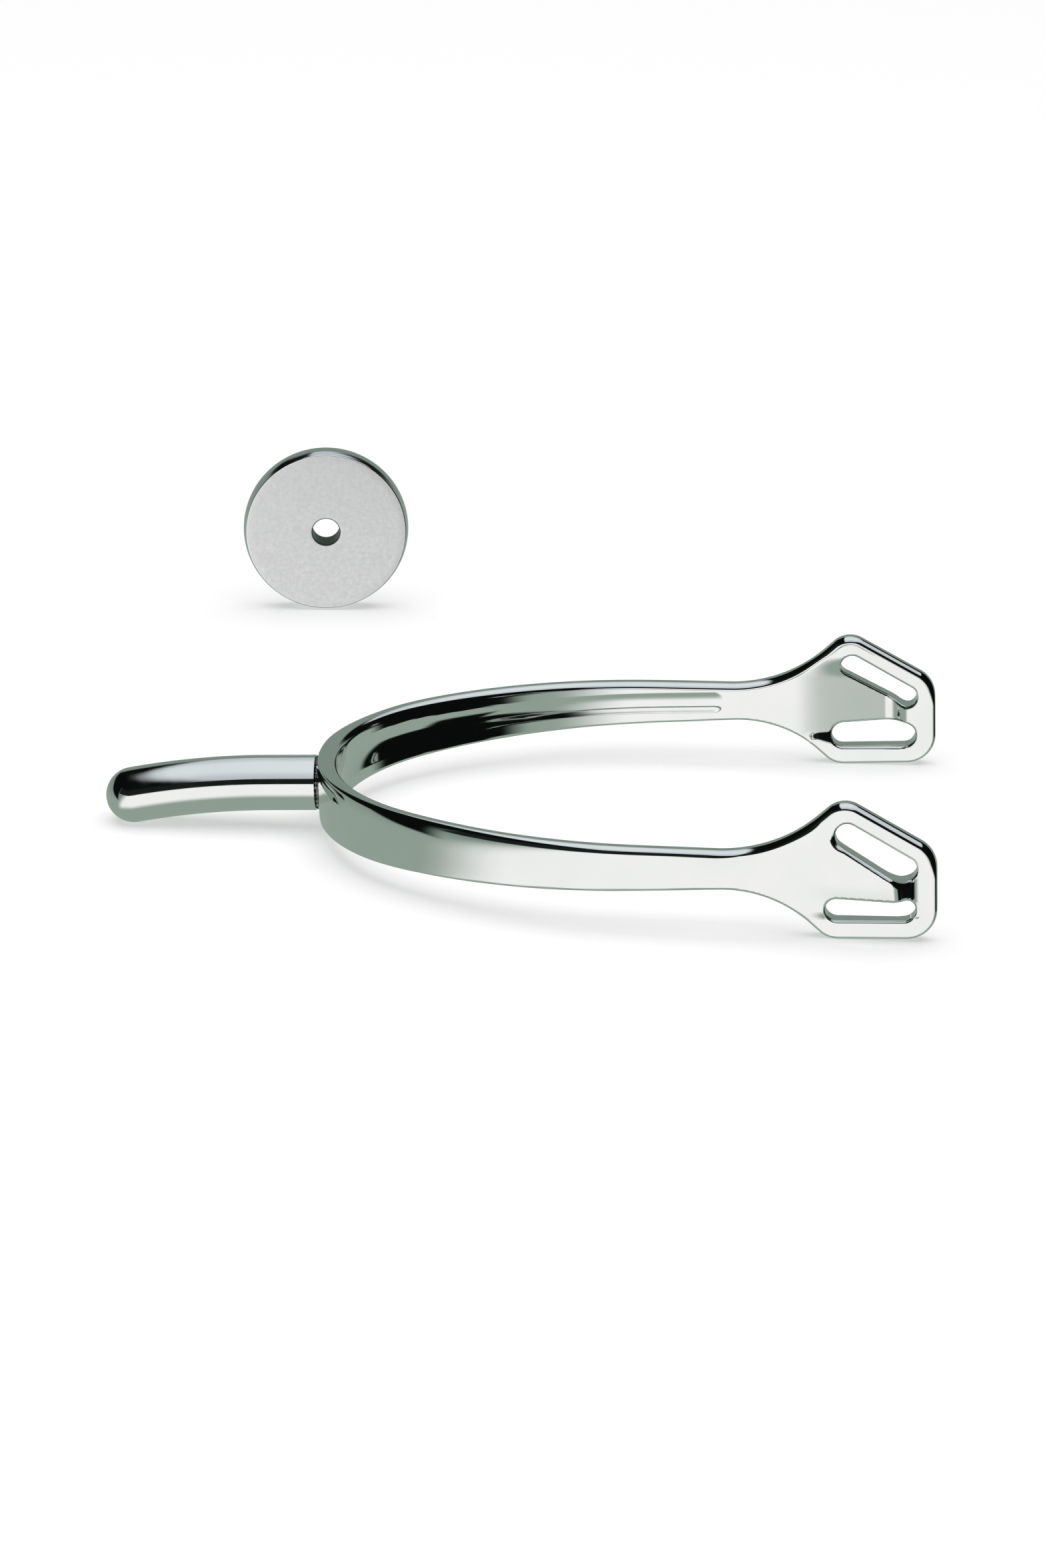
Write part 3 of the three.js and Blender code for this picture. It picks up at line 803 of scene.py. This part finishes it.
class Steel:
    """A metal whose colour, roughness and bumps come from noise in the object's own coordinates."""

    def __init__(self, name):
        self.material = bpy.data.materials.new(name)
        self.material.use_nodes = True
        self.tree = self.material.node_tree
        self.shader = self.tree.nodes["Principled BSDF"]
        self.shader.inputs["Metallic"].default_value = 1.0
        self.place = self.tree.nodes.new("ShaderNodeTexCoord").outputs["Object"]
        self.bumps = None

    def noise(self, size_mm, detail=3.0, stretch=None):
        """Noise with features of a size, longer along the axes that stretch is small on."""
        place = self.place
        if stretch is not None:
            mapping = self.tree.nodes.new("ShaderNodeMapping")
            mapping.inputs["Scale"].default_value = stretch
            self.tree.links.new(place, mapping.inputs["Vector"])
            place = mapping.outputs[0]
        node = self.tree.nodes.new("ShaderNodeTexNoise")
        node.inputs["Scale"].default_value = 1 / (size_mm * MM)
        node.inputs["Detail"].default_value = detail
        self.tree.links.new(place, node.inputs["Vector"])
        return node.outputs[0]

    def levels(self, value, low, high):
        """A noise value stretched to go from low to high over the range that noise mostly has."""
        node = self.tree.nodes.new("ShaderNodeMapRange")
        self.tree.links.new(value, node.inputs["Value"])
        node.inputs["From Min"].default_value = NOISE_RANGE[0]
        node.inputs["From Max"].default_value = NOISE_RANGE[1]
        node.inputs["To Min"].default_value = low
        node.inputs["To Max"].default_value = high
        return node.outputs[0]

    def colour(self, value, dark, light, span=NOISE_RANGE):
        """Colour that goes from dark to light over a span of the value."""
        ramp = self.tree.nodes.new("ShaderNodeValToRGB")
        for stop, place, shade in zip(ramp.color_ramp.elements, span, (dark, light)):
            stop.position = place
            stop.color = (*shade, 1)
        self.tree.links.new(value, ramp.inputs[0])
        self.tree.links.new(ramp.outputs[0], self.shader.inputs["Base Color"])

    def roughness(self, value, low, high):
        self.tree.links.new(self.levels(value, low, high), self.shader.inputs["Roughness"])

    def distance_from(self, centre):
        """Distance from a point, in the object's own coordinates."""
        node = self.tree.nodes.new("ShaderNodeVectorMath")
        node.operation = "DISTANCE"
        self.tree.links.new(self.place, node.inputs[0])
        node.inputs[1].default_value = centre
        return node.outputs["Value"]

    def band(self, distance, start_mm, end_mm):
        """0 where the distance is start_mm, 1 where it is end_mm."""
        node = self.tree.nodes.new("ShaderNodeMapRange")
        self.tree.links.new(distance, node.inputs["Value"])
        node.inputs["From Min"].default_value = start_mm * MM
        node.inputs["From Max"].default_value = end_mm * MM
        return node.outputs[0]

    def paint(self, mask, colour, roughness):
        """Changes the colour and roughness where the mask is 1."""
        self.mix(mask, "Base Color", "RGBA", (*colour, 1))
        self.mix(mask, "Roughness", "FLOAT", roughness)

    def mix(self, mask, name, kind, value):
        """Puts a value into one of the shader's inputs where the mask is 1."""
        socket = self.shader.inputs[name]
        before = socket.links[0].from_socket
        node = self.tree.nodes.new("ShaderNodeMix")
        node.data_type = kind
        a, b, result = MIX_SOCKETS[kind]
        self.tree.links.new(mask, node.inputs["Factor"])
        self.tree.links.new(before, node.inputs[a])
        node.inputs[b].default_value = value
        self.tree.links.new(node.outputs[result], socket)

    def bump(self, value, height_mm):
        node = self.tree.nodes.new("ShaderNodeBump")
        node.inputs["Strength"].default_value = 1.0
        node.inputs["Distance"].default_value = height_mm * MM
        self.tree.links.new(value, node.inputs["Height"])
        if self.bumps is not None:
            self.tree.links.new(self.bumps, node.inputs["Normal"])
        self.bumps = node.outputs[0]
        self.tree.links.new(self.bumps, self.shader.inputs["Normal"])


# RIM_BAND and BORE_BAND are distances from the disc's centre, in millimetres, between which the finish of
# the disc's faces changes to that of its rim, and to a painted shade that makes the bore and the face
# around its mouth nearly black.
POLISH_DARK = (0.83, 0.845, 0.83)
POLISH_LIGHT = (0.875, 0.88, 0.87)
SATIN_DARK = (0.88, 0.865, 0.88)
SATIN_LIGHT = (0.93, 0.91, 0.93)
RIM_STEEL = (0.8, 0.8, 0.8)
RIM_BAND = (14.58, 14.74)
# Painted shade: a nearly black colour for the bore and the face around its mouth.
BORE_PAINTED_SHADE = (0.05, 0.05, 0.05)
BORE_BAND = (3.72, 3.6)
OXIDE = (0.03, 0.032, 0.03)
FILLER = (0.62, 0.62, 0.58)
FILLER_SPAN = (0.5, 0.64)


def polished_steel():
    """Mirror polish with a faint ripple, soft handling marks and fine scratches along the branches."""
    steel = Steel("polished_steel")
    steel.colour(steel.noise(size_mm=9.0), POLISH_DARK, POLISH_LIGHT)
    steel.roughness(steel.noise(size_mm=2.2, detail=6.0), low=0.035, high=0.085)
    steel.bump(steel.noise(size_mm=3.5, detail=1.0), height_mm=0.004)
    steel.bump(steel.noise(size_mm=0.35, detail=4.0, stretch=(0.12, 1.0, 1.0)), height_mm=0.00035)
    return steel.material


def satin_steel():
    """Turned disc: matt faces, a polished rim, and painted shade that darkens the bore and the face around
    it.
    """
    steel = Steel("satin_steel")
    steel.colour(steel.noise(size_mm=0.5, detail=4.0), SATIN_DARK, SATIN_LIGHT)
    steel.roughness(steel.noise(size_mm=0.6, detail=5.0), low=0.36, high=0.44)
    steel.bump(steel.noise(size_mm=0.14), height_mm=0.002)
    from_centre = steel.distance_from(ROWEL_CENTRE * MM)
    steel.paint(steel.band(from_centre, *RIM_BAND), RIM_STEEL, roughness=0.12)
    # Painted shade in and around the bore, nearly black.
    steel.paint(steel.band(from_centre, *BORE_BAND), BORE_PAINTED_SHADE, roughness=0.3)
    return steel.material


def braze_metal():
    """Dark flux and oxide with bright beads of filler metal."""
    steel = Steel("braze_metal")
    steel.colour(steel.noise(size_mm=0.45), OXIDE, FILLER, FILLER_SPAN)
    steel.roughness(steel.noise(size_mm=0.3), low=0.25, high=0.5)
    steel.bump(steel.noise(size_mm=0.25), height_mm=0.03)
    return steel.material


# ---------------------------------------------------------------- camera, floor and light

# The camera aims at a point straight over or under the spur's middle line. Its azimuth is measured from +Y.
CAMERA_AZIMUTH = -3.143 * DEGREE
CAMERA_ELEVATION = 20.187 * DEGREE
CAMERA_ROLL = 0.882 * DEGREE
CAMERA_DISTANCE = 0.99748
CAMERA_LENS = 208.01
CAMERA_SENSOR = 36.0
CAMERA_CLIP_END = 10.0
AIM_X = 0.33 * MM
AIM_Z = 8.80 * MM


def camera():
    """Long lens that looks along +Y and down at the spur on the table, from well back."""
    data = bpy.data.cameras.new("camera")
    data.sensor_fit = "HORIZONTAL"
    data.sensor_width = CAMERA_SENSOR
    data.lens = CAMERA_LENS
    data.clip_end = CAMERA_CLIP_END
    obj = bpy.data.objects.new("camera", data)
    bpy.context.scene.collection.objects.link(obj)
    look = Vector((
        math.sin(CAMERA_AZIMUTH) * math.cos(CAMERA_ELEVATION),
        math.cos(CAMERA_AZIMUTH) * math.cos(CAMERA_ELEVATION),
        -math.sin(CAMERA_ELEVATION),
    ))
    level = look.cross(Vector((0, 0, 1))).normalized()
    upright = level.cross(look)
    right = level * math.cos(CAMERA_ROLL) + upright * math.sin(CAMERA_ROLL)
    up = right.cross(look)
    aim = Vector((AIM_X, SPUR_ORIGIN[1] * MM, AIM_Z))
    place = Matrix((right, up, -look)).transposed().to_4x4()
    place.translation = aim - look * CAMERA_DISTANCE
    obj.matrix_world = place
    bpy.context.scene.camera = obj


FLOOR_SIZE = 6.0
FLOOR_WHITE = (0.9, 0.9, 0.9, 1)
FLOOR_ROUGHNESS = 0.9
# The floor's glow is painted fill light, which lightens the shadows on it.
FLOOR_PAINTED_GLOW = 0.5
TABLE_LIGHT_SIZE = 3.0
TABLE_LIGHT_HEIGHT = 2.2
TABLE_LIGHT_WATTS = 44.0


def floor():
    """Pale floor with a painted glow that stands in for fill light and lightens its shadows. The steel
    mirrors the studio instead of it.
    """
    bpy.ops.mesh.primitive_plane_add(size=FLOOR_SIZE, location=(0, 0, 0))
    obj = bpy.context.object
    obj.name = "floor"
    material = bpy.data.materials.new("pale_floor")
    material.use_nodes = True
    shader = material.node_tree.nodes["Principled BSDF"]
    shader.inputs["Base Color"].default_value = FLOOR_WHITE
    shader.inputs["Roughness"].default_value = FLOOR_ROUGHNESS
    shader.inputs["Specular IOR Level"].default_value = 0.0
    # Painted fill light: the floor glows to lighten the shadows on it.
    shader.inputs["Emission Color"].default_value = (1, 1, 1, 1)
    shader.inputs["Emission Strength"].default_value = FLOOR_PAINTED_GLOW
    obj.data.materials.append(material)
    obj.visible_glossy = False


def table_light():
    """Broad soft lamp over the table. The steel doesn't mirror it."""
    data = bpy.data.lights.new("table_light", "AREA")
    data.shape = "SQUARE"
    data.size = TABLE_LIGHT_SIZE
    data.energy = TABLE_LIGHT_WATTS
    obj = bpy.data.objects.new("table_light", data)
    obj.location = (0, 0, TABLE_LIGHT_HEIGHT)
    obj.visible_glossy = False
    bpy.context.scene.collection.objects.link(obj)


class Studio:
    """The studio that the steel mirrors, as a world whose colour depends on the direction."""

    def __init__(self, colour):
        self.world = bpy.data.worlds.new("studio")
        self.world.use_nodes = True
        self.tree = self.world.node_tree
        self.tree.nodes.clear()
        coordinates = self.tree.nodes.new("ShaderNodeTexCoord")
        split = self.tree.nodes.new("ShaderNodeSeparateXYZ")
        self.tree.links.new(coordinates.outputs["Generated"], split.inputs[0])
        x, y, z = split.outputs
        towards_camera = self.maths("MULTIPLY", y, -1.0)
        self.azimuth = self.maths("MULTIPLY", self.maths("ARCTAN2", x, towards_camera), 1 / DEGREE)
        self.elevation = self.maths("MULTIPLY", self.maths("ARCSINE", z), 1 / DEGREE)
        self.height = z
        self.overhead_x = self.maths("DIVIDE", x, z)
        self.overhead_y = self.maths("DIVIDE", y, z)
        base = self.tree.nodes.new("ShaderNodeRGB")
        base.outputs[0].default_value = (*colour, 1)
        self.colour = base.outputs[0]

    def maths(self, operation, a, b=None):
        node = self.tree.nodes.new("ShaderNodeMath")
        node.operation = operation
        for socket, value in zip(node.inputs, (a, b)):
            if isinstance(value, (int, float)):
                socket.default_value = value
            elif value is not None:
                self.tree.links.new(value, socket)
        return node.outputs[0]

    def slanted(self, value, other, tilt):
        """The value, shifted by a tilt for each unit of another one."""
        return self.maths("ADD", value, self.maths("MULTIPLY", other, tilt))

    def above(self, value, edge):
        """1 where value is above the edge, 0 below it. The edge is (place, softness)."""
        place, softness = edge
        node = self.tree.nodes.new("ShaderNodeMapRange")
        node.interpolation_type = "SMOOTHSTEP"
        self.tree.links.new(value, node.inputs["Value"])
        node.inputs["From Min"].default_value = place - softness
        node.inputs["From Max"].default_value = place + softness
        return node.outputs[0]

    def below(self, value, edge):
        return self.maths("SUBTRACT", 1.0, self.above(value, edge))

    def between(self, value, edges):
        return self.maths("SUBTRACT", self.above(value, edges[0]), self.above(value, edges[1]))

    def paint(self, colour, *masks):
        """Lays a colour over the studio where all the masks are 1."""
        mask = masks[0]
        for other in masks[1:]:
            mask = self.maths("MULTIPLY", mask, other)
        node = self.tree.nodes.new("ShaderNodeMix")
        node.data_type = "RGBA"
        self.tree.links.new(mask, node.inputs["Factor"])
        self.tree.links.new(self.colour, node.inputs["A"])
        node.inputs["B"].default_value = (*colour, 1)
        self.colour = node.outputs["Result"]

    def finish(self):
        background = self.tree.nodes.new("ShaderNodeBackground")
        output = self.tree.nodes.new("ShaderNodeOutputWorld")
        self.tree.links.new(self.colour, background.inputs["Color"])
        self.tree.links.new(background.outputs[0], output.inputs["Surface"])
        bpy.context.scene.world = self.world
        self.world.cycles_visibility.diffuse = False


BENCH_GREY = (0.315, 0.385, 0.335)
ROOM_GREY = (0.225, 0.285, 0.248)
DARK = (0.003, 0.004, 0.0035)
FRONT_DARK = (0.010, 0.013, 0.0115)
SOFTBOX_EDGE = (0.56, 0.61, 0.65)
SOFTBOX = (0.78, 0.83, 0.86)
PANEL = (1.0, 1.0, 1.0)

# Where things are in the studio. Every edge is (place, softness), in degrees: sides by azimuth, which is 0
# towards the camera's side and grows to the right, foot and top by elevation. A tilt slants one edge:
# it is how many degrees that edge shifts back for each degree of the other angle.
ROOM_FOOT = (-4, 16)
LEFT_FLAT_SIDES = ((-152, 6), (-60, 4))
LEFT_FLAT_FOOT = (-45, 3)
LEFT_FLAT_TILT = 0.55
LEFT_FLAT_HIGH = (19, 3)
FRONT_FLAT_SIDES = ((-60, 4), (30, 8))
FRONT_FLAT_FOOT = (12, 1.5)
RIGHT_FLAT_SIDES = ((15, 5), (60, 8))
RIGHT_FLAT_FOOT = (4, 5)
CEILING_FOOT = (33, 5)
PANEL_LEFT = (-38, 15)
PANEL_LEFT_TILT = -0.66
PANEL_RIGHT = (19, 12)
PANEL_FOOT_AND_TOP = ((-38, 11), (11.5, 1.5))
CARD_LEFT = (24, 5)
CARD_LEFT_TILT = 0.9
CARD_LEFT_LIMIT = (20, 5)
CARD_RIGHT = (130, 8)
CARD_RIGHT_TILT = -1.2
CARD_FOOT_AND_TOP = ((-22, 2), (40, 3))
LOW_CARD_SIDES = ((50, 2), (71, 4))
LOW_CARD_FOOT_AND_TOP = ((-37, 3), (0, 3))

# The softbox is level overhead. Its edges are in a plane at a height of 1 over the spur, it is seen only
# where a direction rises by at least SOFTBOX_LEAST_HEIGHT, and it is at its brightest above an elevation.
SOFTBOX_LEFT = (-0.38, 0.05)
SOFTBOX_RIGHT = (0.9, 0.03)
SOFTBOX_RIGHT_TILT = 0.12
SOFTBOX_NEAR_AND_FAR = ((-1.46, 0.07), (1.5, 0.15))
SOFTBOX_LEAST_HEIGHT = (0.1, 0.05)
SOFTBOX_BRIGHT = (55, 17)


def studio():
    """A white panel in front, a softbox overhead and dark flats to the sides, in a grey-green room."""
    s = Studio(BENCH_GREY)
    az, el = s.azimuth, s.elevation
    s.paint(ROOM_GREY, s.above(el, ROOM_FOOT))

    left = s.between(az, LEFT_FLAT_SIDES)
    s.paint(DARK, left, s.above(s.slanted(el, az, LEFT_FLAT_TILT), LEFT_FLAT_FOOT))
    s.paint(DARK, left, s.above(el, LEFT_FLAT_HIGH))
    s.paint(FRONT_DARK, s.above(el, FRONT_FLAT_FOOT), s.between(az, FRONT_FLAT_SIDES))
    s.paint(DARK, s.above(el, RIGHT_FLAT_FOOT), s.between(az, RIGHT_FLAT_SIDES))
    s.paint(DARK, s.above(el, CEILING_FOOT))

    box = (
        s.above(s.overhead_x, SOFTBOX_LEFT),
        s.below(s.slanted(s.overhead_x, s.overhead_y, SOFTBOX_RIGHT_TILT), SOFTBOX_RIGHT),
        s.between(s.overhead_y, SOFTBOX_NEAR_AND_FAR),
        s.above(s.height, SOFTBOX_LEAST_HEIGHT),
    )
    s.paint(SOFTBOX_EDGE, *box)
    s.paint(SOFTBOX, *box, s.above(el, SOFTBOX_BRIGHT))

    s.paint(
        PANEL,
        s.above(s.slanted(az, el, PANEL_LEFT_TILT), PANEL_LEFT),
        s.below(az, PANEL_RIGHT),
        s.above(el, PANEL_FOOT_AND_TOP[0]),
        s.below(el, PANEL_FOOT_AND_TOP[1]),
    )

    s.paint(
        DARK,
        s.above(s.slanted(az, el, CARD_LEFT_TILT), CARD_LEFT),
        s.below(s.slanted(az, el, CARD_RIGHT_TILT), CARD_RIGHT),
        s.above(az, CARD_LEFT_LIMIT),
        s.above(el, CARD_FOOT_AND_TOP[0]),
        s.below(el, CARD_FOOT_AND_TOP[1]),
    )
    s.paint(DARK, s.between(az, LOW_CARD_SIDES), s.between(el, LOW_CARD_FOOT_AND_TOP))
    s.finish()


bpy.context.scene.view_settings.view_transform = "Standard"
camera()
floor()
table_light()
studio()

polished = polished_steel()
satin = satin_steel()
braze = braze_metal()
for make, node, body, material, slot in (
    (heel_band, "heel_band", "spur", polished, "polished_steel"),
    (neck, "neck", "spur", polished, "polished_steel"),
    (braze_ring, "braze_ring", "spur", braze, "braze"),
    (rowel, "rowel_disc", "rowel", satin, "satin_steel"),
):
    piece = make()
    # The band's faces already point out, and it has exact normals of its own.
    if make is not heel_band:
        face_outwards(piece)
    piece.data.materials.append(material)
    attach(piece, body)
    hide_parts(node)
